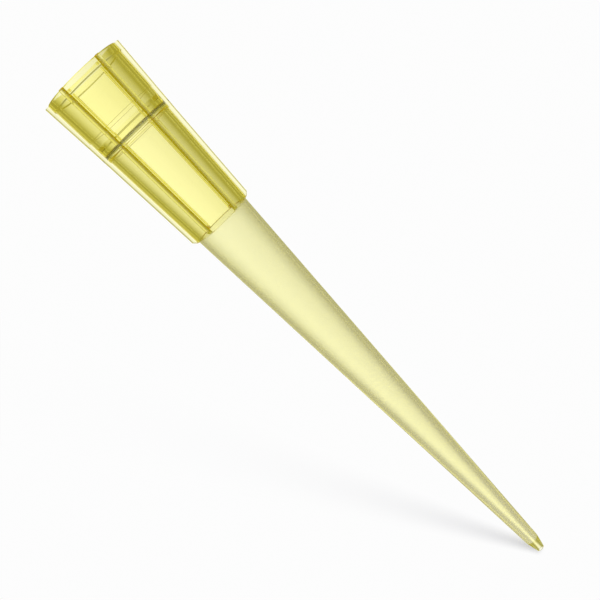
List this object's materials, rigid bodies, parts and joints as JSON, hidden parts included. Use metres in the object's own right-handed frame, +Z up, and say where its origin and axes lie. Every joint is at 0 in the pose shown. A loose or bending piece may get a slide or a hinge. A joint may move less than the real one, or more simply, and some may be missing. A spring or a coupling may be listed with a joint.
{
  "type": "pipette tip",
  "caption": "One-piece moulded laboratory pipette tip: ribbed collar with an open tapered socket, a sealing ring inside, and a long slender body with a fine bevelled point.",
  "frame": {"origin": "centre of the bounding box on the surface that the tip lies on", "axes": "+X towards the point, +Z up; the tip lies on the rim of its mouth and on its point, with its own axis in the XZ plane, sloping down about 3 degrees towards the point"},
  "size_m": [0.0512, 0.0072, 0.0065],
  "materials": {
    "tip_plastic": "clear yellow polypropylene, polished on the collar and the point, lightly frosted along the body"
  },
  "bodies": {
    "root": {"pipette_tip": "tip_plastic"}
  },
  "joints": []
}
